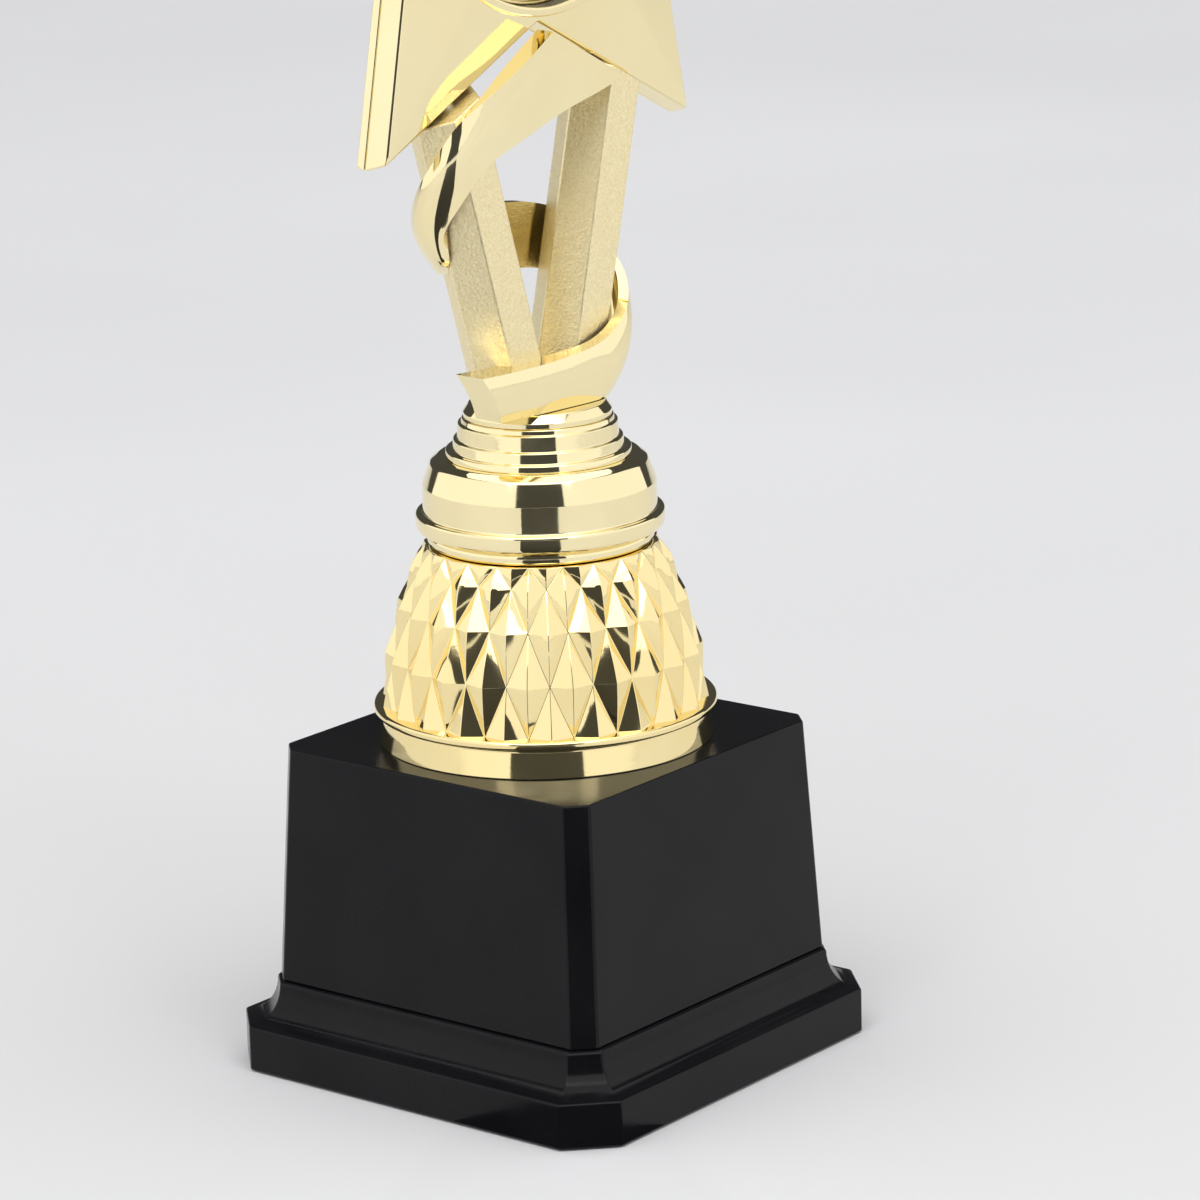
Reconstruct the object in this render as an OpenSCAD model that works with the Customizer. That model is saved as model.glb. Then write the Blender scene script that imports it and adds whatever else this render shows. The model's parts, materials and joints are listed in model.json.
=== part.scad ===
// Star trophy: a square base, a patterned riser, and a star carried by two leaning columns
// inside a winding ribbon. One tie rod clamps base, riser and figure together.
// Millimetres, +Z up, origin at the middle of the underside, front towards -Y.

/* [Base] */
// Width of the plinth across its flats
plinth_w = 80; // [70:1:90]
// Flat cut on each corner of the plinth, measured along one side
plinth_chamfer = 7.1; // [5:0.1:9]
// Height of the upright band of the plinth
band_h = 7.8; // [6:0.1:10]
// Radius of the cove above the band
cove_r = 6.4; // [5:0.1:7]
// Width of the block where it stands on the plinth
block_w = 67.4; // [62:0.1:68]
// Width of the block at its top
block_top_w = 63.5; // [60:0.1:66]
// Flat cut on each corner of the block, measured along one side
block_chamfer = 3.1; // [2:0.1:4]
// Height of the block
block_h = 39.9; // [36:0.1:44]
// Wall thickness of the two base mouldings
base_wall = 2.4; // [2:0.1:3]

/* [Riser] */
// Radius of the foot band of the dome at half its height
dome_foot_r = 27.4; // [26:0.1:28]
// Radius of the flange above the foot band
flange_r = 28.4; // [28:0.1:29]
// Height of the dome, from the block to the neck
dome_h = 32.9; // [31:0.1:34]
// Radius of the dome at its neck
neck_r = 19.9; // [19:0.1:20.5]
// Number of diamonds round the dome
diamonds = 22; // [16:1:26]
// How far the point of a diamond stands out from its edges
diamond_rise = 1.5; // [0.8:0.1:1.8]

/* [Figure] */
// Turn of the figure about the upright axis, in degrees
figure_turn = -6; // [-10:1:10]
// Distance across the corners of a column
column_d = 13; // [12:0.1:14]
// Lean of the left column, in degrees
left_lean = 15.2; // [13:0.1:16]
// Lean of the right column, in degrees
right_lean = 12.6; // [11:0.1:14]
// Distance from the middle to the axis of a column at the figure's foot
column_spread = 5.4; // [5:0.1:6]
// Wall thickness of the ribbon
ribbon_t = 1.8; // [1.4:0.1:2.2]

/* [Star] */
// Distance from the middle of the star to the tip of a point
star_r = 60; // [56:0.5:62]
// Distance from the middle of the star to a notch
notch_r = 29.4; // [28.5:0.1:31]
// Height of the middle of the star
star_z = 201.6; // [200:0.1:204]
// Thickness of the front shell at its edge
star_front_t = 4.3; // [4:0.1:5]
// Thickness of the back shell at its edge
star_back_t = 2.2; // [2:0.1:3]
// Rise of the star's ridges from the edge to the middle
star_rise = 4; // [3:0.1:5]
// Outside radius of the round bezel
bezel_r = 27.6; // [27:0.1:28]
// Radius of the centre insert
insert_r = 25; // [24:0.1:25.2]

/* [Tie rod] */
// Diameter of the tie rod
rod_d = 6; // [5:0.5:8]

/* [Hidden] */

$fn = 96;
eps = 0.01;
big = 400;
fit = 0.1;                               // gap round pieces that are pushed together by hand
slip = 0.05;                             // gap round screws, rod and dowels

felt_t = 1.2;
plinth_z = 0.3;                          // the plinth clears the table by this much
plinth_top = 14.6;
cover_t = 2;
cover_w = plinth_w - 2 * base_wall - 0.6;
cover_z = felt_t;
ledge_z = cover_z + cover_t;
cavity_w = 62;
plinth_roof = 2.6;
lip_h = 0.4;                             // raised square that the block stands on
block_top = plinth_top + block_h;
rod_hole_d = rod_d + 1;
screw_at = 33.4;                         // distance of a cover screw from the middle, along X or Y
screw_hole_r = 1.45;

dome_z = block_top;
dome_top = dome_z + dome_h;
flange_z = dome_z + 5;
flange_t = 1.3;
pattern_z = flange_z + flange_t;
neck_ring_h = 2.2;
collar_z = dome_top + neck_ring_h;
bead_d = 3.2;
drum_z = collar_z + bead_d;
hub_z = collar_z + 12.4;
foot_z = hub_z + 6.5;
foot_top = foot_z + 2.3;
foot_r = 12.2;
foot_rim = 0.9;                          // upright part of the foot

star_x_angle = 36;                       // half the angle between two points
star_face_y = -2.7;                      // plane of the star's front edge
seam_y = star_face_y + star_front_t;
star_back_y = seam_y + star_back_t;
shell_wall = 1.6;
// slope of the undersides of the two legs
leg_slope = atan((star_r * sin(54) - notch_r) / (star_r * cos(54)));
notch_z = star_z - notch_r;

// ---------- shared shapes ----------

// Square with its corners cut off, as an outline
function cut_square(w, cut) = let (h = w / 2, k = h - cut)
    [[h, -k], [h, k], [k, h], [-k, h], [-h, k], [-h, -k], [-k, -h], [k, -h]];

module cut_prism(w, cut, h) {
    linear_extrude(height = h) polygon(cut_square(w, cut));
}

// Upright prism whose eight sides lean in by the same slope
module cut_taper(w, w_top, cut, h) {
    lean = atan((w - w_top) / 2 / h);
    side = w / 2;
    corner = (w - cut) / sqrt(2);
    difference() {
        translate([-w, -w, 0]) cube([2 * w, 2 * w, h]);
        for (k = [0:7]) {
            reach = k % 2 == 0 ? side : corner;
            rotate([0, 0, 45 * k]) translate([reach, 0, 0]) rotate([0, -lean, 0])
                translate([0, -2 * w, -w]) cube([2 * w, 4 * w, 3 * w]);
        }
    }
}

module tube(r, bore, h) {
    difference() {
        cylinder(r = r, h = h);
        translate([0, 0, -eps]) cylinder(r = bore, h = h + 2 * eps);
    }
}

// Places its children at the four cover screws
module at_cover_screws() {
    for (k = [0:3]) rotate([0, 0, 90 * k]) translate([screw_at, 0, 0]) children();
}

// ---------- base ----------

module felt_pad() color("DimGray") {
    difference() {
        cut_prism(cover_w - 0.4, plinth_chamfer - 1, felt_t);
        at_cover_screws() translate([0, 0, -eps]) cylinder(r = 3.2, h = felt_t + 2 * eps);
    }
}

module bottom_cover() color("Black") {
    difference() {
        translate([0, 0, cover_z]) cut_prism(cover_w, plinth_chamfer - 1, cover_t);
        at_cover_screws() translate([0, 0, cover_z - eps]) cylinder(r = 1.6, h = cover_t + 2 * eps);
        at_cover_screws() translate([0, 0, cover_z - eps]) cylinder(r = 2.9, h = 0.8 + eps);
    }
}

module cover_screws() color("Silver") {
    at_cover_screws() {
        translate([0, 0, cover_z - 0.6]) difference() {
            cylinder(r = 2.7, h = 1.4);
            translate([0, 0, -eps]) cylinder(r = 1.3, h = 0.8, $fn = 6);
        }
        translate([0, 0, cover_z + 0.8]) cylinder(r = screw_hole_r - slip, h = 8);
    }
}

module cove_cutters() {
    side = plinth_w / 2 - 5.5 + cove_r;
    corner = (plinth_w - plinth_chamfer) / sqrt(2) - 5.55 + cove_r;
    for (k = [0:7]) {
        reach = k % 2 == 0 ? side : corner;
        rotate([0, 0, 45 * k]) translate([reach, 0, plinth_top - lip_h]) rotate([90, 0, 0])
            cylinder(r = cove_r, h = 2 * plinth_w, center = true);
    }
}

module plinth() color("Black") {
    lip_w = plinth_w - 11.4;
    difference() {
        union() {
            difference() {
                translate([0, 0, plinth_z])
                    cut_prism(plinth_w, plinth_chamfer, plinth_top - lip_h - plinth_z);
                cove_cutters();
            }
            translate([0, 0, plinth_top - lip_h - eps])
                cut_prism(lip_w, block_chamfer + 0.9, lip_h + eps);
        }
        translate([0, 0, -eps]) cut_prism(cover_w + 0.4, plinth_chamfer - 1, ledge_z + eps);
        translate([0, 0, -eps]) cut_prism(cavity_w, plinth_chamfer, plinth_top - plinth_roof + eps);
        at_cover_screws() cylinder(r = screw_hole_r, h = ledge_z + 6.8);
        cylinder(r = rod_hole_d / 2, h = plinth_top + 1);
    }
}

module base_block() color("Black") {
    inner = block_w - 2 * base_wall;
    inner_top = block_top_w - 2 * base_wall;
    difference() {
        translate([0, 0, plinth_top]) cut_taper(block_w, block_top_w, block_chamfer, block_h);
        translate([0, 0, plinth_top - eps])
            cut_taper(inner, inner_top, block_chamfer, block_h - base_wall);
        cylinder(r = rod_hole_d / 2, h = block_top + 1);
    }
}

module base_weight() color("Gray") {
    difference() {
        translate([0, 0, plinth_top]) cut_taper(56, 54, 4, 26);
        cylinder(r = rod_hole_d / 2 + 0.5, h = block_top);
    }
}

// ---------- clamping hardware ----------

rod_z = 3.6;
insert_h = 1.8;
nut_h = 5;
lock_washer_t = 1;
washer_t = 1.4;
rod_top = foot_z + insert_h;
roof_under = plinth_top - plinth_roof;

module tie_rod() color("Silver") {
    translate([0, 0, rod_z]) cylinder(r = rod_d / 2, h = rod_top - rod_z);
}

module clamp_nut() color("Silver") {
    translate([0, 0, roof_under - washer_t - lock_washer_t - nut_h]) difference() {
        cylinder(r = 5.75, h = nut_h, $fn = 6);
        translate([0, 0, -eps]) cylinder(r = rod_d / 2 + slip, h = nut_h + 2 * eps);
    }
}

module lock_washer() color("LightGray") {
    translate([0, 0, roof_under - washer_t - lock_washer_t]) difference() {
        tube(5.2, rod_d / 2 + 0.1, lock_washer_t);
        // the split
        translate([3, -0.5, -eps]) cube([3, 1, 2 * lock_washer_t]);
    }
}

module clamp_washer() color("Silver") {
    translate([0, 0, roof_under - washer_t]) tube(12, rod_d / 2 + 0.2, washer_t);
}

// ---------- riser ----------

// Outline radius of the dome at height z: an arc that turns inward towards the neck
pattern_r = flange_r - 1.2;
function dome_r(z) = pattern_r
    - (pattern_r - neck_r) * pow(max(0, z - pattern_z) / (dome_top - pattern_z), 1.8);

// Rows of diamond corners from the flange up: part of the patterned height, and how deep a corner
// lies there. The first row starts just inside the flange, the rows crowd together as the dome
// narrows, and the neck cuts through the last one.
pattern_rows = [[-0.01, 1], [0.31, 1], [0.625, 1], [0.872, 1], [1, 0.65]];

// Skin of diamonds. Each row has a corner and a peak in turn, shifted by one from row to row,
// so that every diamond is a low pyramid with four flat sides.
module diamond_skin() {
    sides = 2 * diamonds;
    last = len(pattern_rows) - 1;
    pts = [
        for (k = [0:last]) for (j = [0:sides - 1])
            let (
                z = pattern_z + (dome_top - pattern_z) * pattern_rows[k][0],
                depth = pattern_rows[k][1],
                r = dome_r(z) - diamond_rise * ((j + k) % 2 == 0 ? depth : 1 - depth)
            ) [r * cos(360 * j / sides), r * sin(360 * j / sides), z]
    ];
    skin = [
        for (k = [0:last - 1]) for (j = [0:sides - 1])
            let (i = k * sides + j, m = k * sides + (j + 1) % sides)
                each (j + k) % 2 == 0
                    ? [[i, i + sides, m + sides], [i, m + sides, m]]
                    : [[i, i + sides, m], [m, i + sides, m + sides]]
    ];
    bottom = [for (j = [0:sides - 1]) j];
    top = [for (j = [0:sides - 1]) last * sides + sides - 1 - j];
    polyhedron(points = pts, faces = concat([bottom], [top], skin), convexity = 6);
}

module riser_dome() color("Gold") {
    wall = 2.6;
    foot_lean = 0.5;
    difference() {
        union() {
            diamond_skin();
            // foot band and flange
            rotate_extrude() union() {
                polygon([
                    [0, dome_z], [dome_foot_r + foot_lean, dome_z],
                    [dome_foot_r - foot_lean, flange_z + eps], [0, flange_z + eps]
                ]);
                translate([0, flange_z]) square([flange_r - flange_t / 2, flange_t]);
                translate([flange_r - flange_t / 2, flange_z + flange_t / 2])
                    circle(d = flange_t, $fn = 32);
            }
        }
        // hollow, with a roof under the neck
        rotate_extrude() polygon([
            [0, dome_z - 1], [dome_foot_r - wall, dome_z - 1], [dome_foot_r - wall, flange_z],
            [pattern_r - diamond_rise - wall, pattern_z + 5],
            [neck_r - diamond_rise - wall, dome_top - wall], [0, dome_top - wall]
        ]);
        cylinder(r = rod_hole_d / 2, h = dome_top + 1);
    }
}

module neck_ring() color("Gold") {
    ring_r = neck_r - 1.2;
    rotate_extrude() difference() {
        union() {
            translate([0, dome_top]) square([ring_r - neck_ring_h / 2, neck_ring_h]);
            translate([ring_r - neck_ring_h / 2, dome_top + neck_ring_h / 2])
                circle(d = neck_ring_h, $fn = 32);
        }
        translate([-1, dome_top - 1]) square([rod_hole_d / 2 + 1, neck_ring_h + 2]);
    }
}

// Collar: a rounded bead, then a drum that is upright below, leans in above and has a round shoulder
module riser_collar() color("Gold") {
    bead_r = 20.5;
    drum_r = 19.3;
    drum_h = hub_z - drum_z + eps;
    difference() {
        rotate_extrude() union() {
            translate([0, collar_z]) square([bead_r - bead_d / 2, bead_d]);
            translate([bead_r - bead_d / 2, collar_z + bead_d / 2]) circle(d = bead_d, $fn = 32);
            translate([0, drum_z - eps]) polygon([
                [0, 0], [drum_r, 0], [drum_r - 0.1, drum_h / 2], [drum_r - 1.4, drum_h - 0.9],
                [drum_r - 1.65, drum_h - 0.45], [drum_r - 2.1, drum_h - 0.15], [drum_r - 2.7, drum_h],
                [0, drum_h]
            ]);
        }
        translate([0, 0, collar_z - eps]) cylinder(r = 14, h = hub_z - collar_z - 2.4);
        cylinder(r = rod_hole_d / 2, h = hub_z + 1);
    }
}

// Steps of the hub from the bottom up: radius and height
hub_steps = [[15.4, 1.2], [14.1, 1.8], [13.3, 2.6], [12.6, 0.9]];
function steps_below(k) = k < 1 ? 0 : hub_steps[k - 1][1] + steps_below(k - 1);

module stepped_hub() color("Gold") {
    difference() {
        rotate_extrude() union() {
            for (k = [0:len(hub_steps) - 1]) {
                r = hub_steps[k][0];
                h = hub_steps[k][1];
                translate([0, hub_z + steps_below(k)]) polygon([[0, 0], [r, 0], [r - 0.2, h], [0, h]]);
            }
        }
        cylinder(r = rod_hole_d / 2, h = foot_z + 1);
    }
}

// ---------- figure ----------

module figure() {
    rotate([0, 0, figure_turn]) children();
}

insert_hole_r = 4.2;
small_screw_r = 1.1;
dowel_r = 1.5;

module figure_foot() color("Gold") figure() {
    difference() {
        union() {
            translate([0, 0, foot_z]) cylinder(r = foot_r, h = foot_rim);
            translate([0, 0, foot_z + foot_rim - eps])
                cylinder(r1 = foot_r - 0.2, r2 = foot_r - 1, h = foot_top - foot_z - foot_rim + eps);
        }
        translate([0, 0, foot_z - 1]) cylinder(r = insert_hole_r, h = 1 + insert_h);
        at_column_screws() translate([0, 0, -4]) cylinder(r = small_screw_r + slip, h = 8);
        at_column_screws() translate([0, 0, foot_z - foot_top - 1]) cylinder(r = 2.1, h = 2.2);
    }
}

module thread_insert() color("Goldenrod") figure() {
    translate([0, 0, foot_z]) difference() {
        cylinder(r = insert_hole_r - slip, h = insert_h);
        translate([0, 0, -1]) cylinder(r = rod_d / 2 + slip, h = insert_h + 2);
    }
}

// Places its children where a column screw meets the top of the foot
module at_column_screws() {
    for (s = [-1, 1]) translate([s * 7.2, 0, foot_top]) children();
}

module column_screws() color("Silver") figure() {
    at_column_screws() {
        translate([0, 0, foot_z + 0.3 - foot_top]) cylinder(r = 2.0, h = 0.9);
        translate([0, 0, foot_z + 1.1 - foot_top]) cylinder(r = small_screw_r, h = 9);
    }
}

// Hexagonal bar of a column; side is -1 for the left one and 1 for the right one
module column_bar(side, grow = 0) {
    lean = side < 0 ? left_lean : right_lean;
    translate([side * column_spread, 0, foot_top]) rotate([0, side * lean, 0])
        translate([0, 0, -20]) cylinder(d = column_d + 2 * grow, h = 110, $fn = 6);
}

// Half space below the undersides of the star's legs, on one side of the middle
module below_leg(side, gap) {
    translate([0, 0, notch_z - gap]) mirror([side < 0 ? 1 : 0, 0, 0]) rotate([0, leg_slope, 0])
        translate([-big / 4, -big / 2, -big]) cube([big, big, big]);
}

module column(side) {
    difference() {
        intersection() {
            column_bar(side);
            below_leg(side, 0.1);
            translate([side < 0 ? -big - 0.05 : 0.05, -big / 2, foot_top]) cube(big);
        }
        at_column_screws() translate([0, 0, -1]) cylinder(r = small_screw_r + slip, h = 9.6);
        at_star_dowels() translate([0, 0, -6]) cylinder(r = dowel_r + slip, h = 7);
    }
}

module left_column() color("Khaki") figure() column(-1);
module right_column() color("Khaki") figure() column(1);

// Stations of the ribbon's outer face: [across, depth, lower edge, upper edge, curl, extra thickness].
// Curl is how far the lower edge sits inside the upper one.
ribbon_stations = [
    [-26, -9, 111.2, 119.2, 0.6, 4.4],
    [-13, -9, 111, 119, 0.6, 3.8],
    [-2, -9, 110.9, 119.4, 0.6, 2],
    [7, -8.8, 110.9, 120.8, 0.8, 0.6],
    [13.6, -7.4, 110.9, 124.4, 3, 0],
    [17.1, -4.4, 111.8, 128.8, 5, -0.2],
    [18.7, 0.2, 116, 132.6, 4.6, -0.4],
    [17.9, 4.6, 123.4, 136.2, 2.2, -0.2],
    [14, 7.8, 128.6, 139.4, 0.8, 0],
    [6.4, 8.9, 130.9, 141.8, 0, 0],
    [-4, 9, 131.7, 143, 0.2, 0],
    [-13.4, 8.8, 132.8, 144.4, 1.4, 0],
    [-20.1, 6.1, 134.2, 145.8, 3.4, -0.2],
    [-24, 1.5, 136.6, 148.6, 3.6, -0.4],
    [-24.5, -2.6, 140.6, 153.4, 2.8, -0.4],
    [-21.8, -6, 146.2, 159.5, 0.9, -0.2],
    [-16.6, -7.6, 152.5, 163.2, 0.2, 0.2],
    [-9.1, -7.9, 155.7, 167.4, 0.1, 1.6],
    [0.2, -7.6, 158.9, 173, 0, 1.8],
    [10, -7.4, 161.4, 178, 0, 2.2],
    [20.2, -6.9, 164.5, 183, 0, 2.4]
];

// Catmull-Rom curve through a list of points, at parameter t from 0 to the last index
function curve(list, t) = let (
        last = len(list) - 1,
        i = min(floor(t), last - 1),
        f = t - i,
        a = list[max(i - 1, 0)],
        b = list[i],
        c = list[i + 1],
        d = list[min(i + 2, last)]
    ) 0.5 * (
        2 * b + (c - a) * f + (2 * a - 5 * b + 4 * c - d) * f * f + (3 * b - a - 3 * c + d) * f * f * f
    );

ribbon_per_station = 4;
ribbon_bulge = 1;
ribbon_levels = 4;
ribbon_gap = 0.2;

// One ring of the ribbon: up its bulging outside, then down its inside
function ribbon_ring(t) = let (
        s = curve(ribbon_stations, t),
        d = curve(ribbon_stations, t + 0.01) - curve(ribbon_stations, t - 0.01),
        along = [d[0], d[1]] / norm([d[0], d[1]]),
        bulge = ribbon_bulge * min(1, s[4]),
        step = function (h, wall)
            let (inset = s[4] * pow(1 - h, 2.2) - bulge * 4 * h * (1 - h) + wall)
                [s[0] - along[1] * inset, s[1] + along[0] * inset, s[2] + (s[3] - s[2]) * h]
    ) [
        for (k = [0:ribbon_levels]) step(k / ribbon_levels, 0),
        for (k = [0:ribbon_levels]) step(1 - k / ribbon_levels, ribbon_t + s[5])
    ];

module ribbon_band() {
    last = len(ribbon_stations) - 1;
    count = last * ribbon_per_station;
    side = 2 * ribbon_levels + 2;
    pts = [for (k = [0:count]) each ribbon_ring(min(max(k / ribbon_per_station, 0.011), last - 0.011))];
    skin = [
        for (k = [0:count - 1]) for (j = [0:side - 1])
            let (a = side * k + j, b = side * k + (j + 1) % side)
                each [[a, a + side, b], [b, a + side, b + side]]
    ];
    first = [for (j = [0:side - 1]) j];
    final = [for (j = [0:side - 1]) side * count + side - 1 - j];
    polyhedron(points = pts, faces = concat([first], [final], skin), convexity = 8);
}

module ribbon() color("Gold") figure() {
    difference() {
        ribbon_band();
        column_bar(-1, ribbon_gap);
        column_bar(1, ribbon_gap);
        // slanted cut at the lower end
        translate([-17.2, 0, 112.2]) rotate([0, -29, 0]) translate([-big, -big / 2, -big / 2]) cube(big);
        // cut at the upper end, along the underside of the star's right leg
        translate([-1.3, 0, 171.8]) rotate([0, 29.2, 0]) translate([-big / 2, -big / 2, 0]) cube(big);
    }
}

// ---------- star ----------

// Corners of the star's outline, grown outwards by g
function star_points(g = 0) = [
    for (k = [0:9])
        let (r = k % 2 == 0 ? star_r + g * 2.2 : notch_r + g * 1.1, a = 90 + star_x_angle * k)
            [r * cos(a), r * sin(a)]
];

// Places the star's outline plane upright, with its middle at the right height
module star_place(y = 0) {
    translate([0, y, star_z]) rotate([90, 0, 0]) children();
}

// Walls between two star outlines: corners 0 to 9 behind, 10 to 19 in front
star_walls = [for (k = [0:9]) let (m = (k + 1) % 10) each [[m, k, 10 + m], [10 + m, k, 10 + k]]];

// Flat plate between two star outlines
module star_plate(g_back, g_front, t) {
    rear = [for (p = star_points(g_back)) [p[0], p[1], 0]];
    front = [for (p = star_points(g_front)) [p[0], p[1], t]];
    faces = [[for (k = [0:9]) k], [for (k = [0:9]) 19 - k]];
    polyhedron(points = concat(rear, front), faces = concat(star_walls, faces), convexity = 6);
}

// The same with its front raised to a peak in the middle
module star_peak(g_back, g_front, t, peak) {
    rear = [for (p = star_points(g_back)) [p[0], p[1], 0]];
    front = [for (p = star_points(g_front)) [p[0], p[1], t]];
    fans = [for (k = [0:9]) let (m = (k + 1) % 10) each [[10 + m, 10 + k, 20], [k, m, 21]]];
    points = concat(rear, front, [[0, 0, t + peak], [0, 0, 0]]);
    polyhedron(points = points, faces = concat(star_walls, fans), convexity = 6);
}

screw_ring_r = 36;                       // distance of a shell screw from the middle of the star
pocket_y = seam_y - 2.6;                 // floor of the pocket for bezel and insert
backing_t = 1.2;
insert_t = 0.8;

module at_star_screws() {
    for (k = [0, 1, 4]) rotate([0, 0, 90 + 72 * k]) translate([screw_ring_r, 0, 0]) children();
}

module star_front() color("Gold") figure() {
    difference() {
        star_place(seam_y) star_peak(0, -0.7, star_front_t, star_rise);
        // hollow, seen from the back
        star_place(seam_y + eps) difference() {
            star_peak(-1.6, -2.3, star_front_t - shell_wall, star_rise * 0.9);
            at_star_screws() cylinder(r = 3, h = 20);
            cylinder(r = bezel_r + 0.6, h = 20);
        }
        // pocket for the bezel and its insert
        star_place(pocket_y) cylinder(r = bezel_r + fit, h = 20);
        star_place(seam_y + 1) cylinder(r = 20, h = 10);
        star_place(seam_y + eps) at_star_screws() cylinder(r = small_screw_r + slip, h = 4.4);
        at_star_dowels() translate([0, 0, -1]) cylinder(r = dowel_r + slip, h = 6);
    }
}

module star_back() color("Gold") figure() {
    difference() {
        star_place(seam_y) mirror([0, 0, 1]) translate([0, 0, 0.02])
            star_plate(0, -0.4, star_back_t - 0.02);
        star_place(star_back_y - 1.2) linear_extrude(height = star_back_t)
            polygon(star_points(-2.6));
        star_place(star_back_y + 1) at_star_screws() cylinder(r = 1.4, h = 6);
        star_place(star_back_y + 1) at_star_screws() cylinder(r = 2.4, h = 1.9);
    }
}

module star_screws() color("Silver") figure() {
    star_place(star_back_y + 0.1) at_star_screws() {
        difference() {
            cylinder(r = 2.3, h = 0.95);
            translate([0, 0, -eps]) cylinder(r = 1, h = 0.5, $fn = 6);
        }
        translate([0, 0, 0.9]) cylinder(r = small_screw_r, h = 5);
    }
}

// Places its children where a column's axis meets the underside of its leg, along the column
module at_star_dowels() {
    for (side = [-1, 1]) {
        lean = side < 0 ? left_lean : right_lean;
        rise = (notch_z - foot_top - column_spread * tan(leg_slope)) / (1 + tan(lean) * tan(leg_slope));
        translate([side * (column_spread + rise * tan(lean)), -0.3, foot_top + rise])
            rotate([0, side * lean, 0]) children();
    }
}

module star_dowels() color("Silver") figure() {
    at_star_dowels() translate([0, 0, -5.6]) cylinder(r = dowel_r, h = 10);
}

module bezel() color("Gold") figure() {
    rim = bezel_r - 0.9;
    star_place(pocket_y) rotate_extrude() difference() {
        union() {
            translate([insert_r - 2, 0]) square([rim - insert_r + 2, 4.3]);
            translate([rim - eps, 0]) square([0.9 + eps, 3.4]);
            translate([rim, 3.4]) circle(r = 0.9, $fn = 32);
        }
        translate([0, backing_t]) square([insert_r + fit, 6]);
        translate([insert_r - 0.6, 4.4]) circle(r = 1.7, $fn = 32);
    }
}

module insert_backing() color("DimGray") figure() {
    star_place(pocket_y) cylinder(r = insert_r - 2 - fit, h = backing_t);
}

module centre_insert() color("Silver") figure() {
    star_place(pocket_y - backing_t) cylinder(r = insert_r, h = insert_t);
}

module insert_dome() color("White", 0.4) figure() {
    dome_rise = 0.9;
    dome_r_max = insert_r - 0.6;
    ball_r = (pow(dome_r_max, 2) + pow(dome_rise, 2)) / (2 * dome_rise);
    steps = 10;
    edge = [
        for (k = [0:steps])
            let (r = dome_r_max * k / steps) [r, sqrt(ball_r * ball_r - r * r) - ball_r + dome_rise + 0.3]
    ];
    star_place(pocket_y - backing_t - insert_t)
        rotate_extrude() polygon(concat([[0, 0]], edge, [[dome_r_max, 0]]));
}

felt_pad();
bottom_cover();
cover_screws();
plinth();
base_block();
base_weight();
tie_rod();
clamp_nut();
lock_washer();
clamp_washer();
riser_dome();
neck_ring();
riser_collar();
stepped_hub();
figure_foot();
thread_insert();
column_screws();
left_column();
right_column();
ribbon();
star_dowels();
star_front();
star_back();
star_screws();
bezel();
insert_backing();
centre_insert();
insert_dome();
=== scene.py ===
"""Star trophy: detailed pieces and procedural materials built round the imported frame.

Shapes are written in millimetres in the row frame and made in metres.
"""

import json
import math

import bmesh
import bpy
from mathutils import Matrix, Vector


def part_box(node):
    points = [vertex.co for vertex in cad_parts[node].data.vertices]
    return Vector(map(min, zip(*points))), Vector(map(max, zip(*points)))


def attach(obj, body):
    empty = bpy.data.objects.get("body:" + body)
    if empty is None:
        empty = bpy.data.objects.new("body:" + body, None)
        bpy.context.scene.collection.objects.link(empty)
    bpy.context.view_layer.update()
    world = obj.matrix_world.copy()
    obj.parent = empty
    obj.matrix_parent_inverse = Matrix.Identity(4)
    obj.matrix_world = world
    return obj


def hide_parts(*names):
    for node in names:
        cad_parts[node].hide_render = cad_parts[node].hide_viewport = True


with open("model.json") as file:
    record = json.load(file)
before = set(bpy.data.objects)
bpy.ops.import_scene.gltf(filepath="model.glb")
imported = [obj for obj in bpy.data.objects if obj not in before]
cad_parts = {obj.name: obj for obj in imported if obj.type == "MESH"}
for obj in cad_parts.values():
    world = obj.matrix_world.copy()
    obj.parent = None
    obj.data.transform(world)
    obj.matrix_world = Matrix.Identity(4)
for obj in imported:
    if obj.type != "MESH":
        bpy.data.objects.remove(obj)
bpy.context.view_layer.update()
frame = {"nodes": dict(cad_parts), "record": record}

MM = 0.001


def level(node, end):
    """Lowest (0) or highest (1) level of a CAD node, in millimetres."""
    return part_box(node)[end].z / MM


def half_width(node):
    """Half the width of a CAD node along X, in millimetres."""
    low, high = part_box(node)
    return (high.x - low.x) / 2 / MM


# ---------------------------------------------------------------- camera

CAMERA_PLACE = Vector((-0.6296, -0.5132, 0.2914))
CAMERA_AZIMUTH = math.radians(-51.48)
CAMERA_ELEVATION = math.radians(14.80)
CAMERA_ROLL = math.radians(-1.45)
CAMERA_LENS = 153.03


def make_camera():
    data = bpy.data.cameras.new("camera")
    camera = bpy.data.objects.new("camera", data)
    bpy.context.scene.collection.objects.link(camera)
    across = Vector((math.cos(CAMERA_AZIMUTH), math.sin(CAMERA_AZIMUTH), 0))
    back = Vector((
        math.sin(CAMERA_AZIMUTH) * math.cos(CAMERA_ELEVATION),
        -math.cos(CAMERA_AZIMUTH) * math.cos(CAMERA_ELEVATION),
        math.sin(CAMERA_ELEVATION),
    ))
    up = back.cross(across)
    c, s = math.cos(CAMERA_ROLL), math.sin(CAMERA_ROLL)
    right = c * across + s * up
    top = c * up - s * across
    turn = Matrix((right, top, back)).transposed()
    camera.matrix_world = Matrix.Translation(CAMERA_PLACE) @ turn.to_4x4()
    data.lens = CAMERA_LENS
    data.sensor_width = 36
    data.clip_start = 0.01
    data.clip_end = 50
    bpy.context.scene.camera = camera


make_camera()

# ---------------------------------------------------------------- materials


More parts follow.
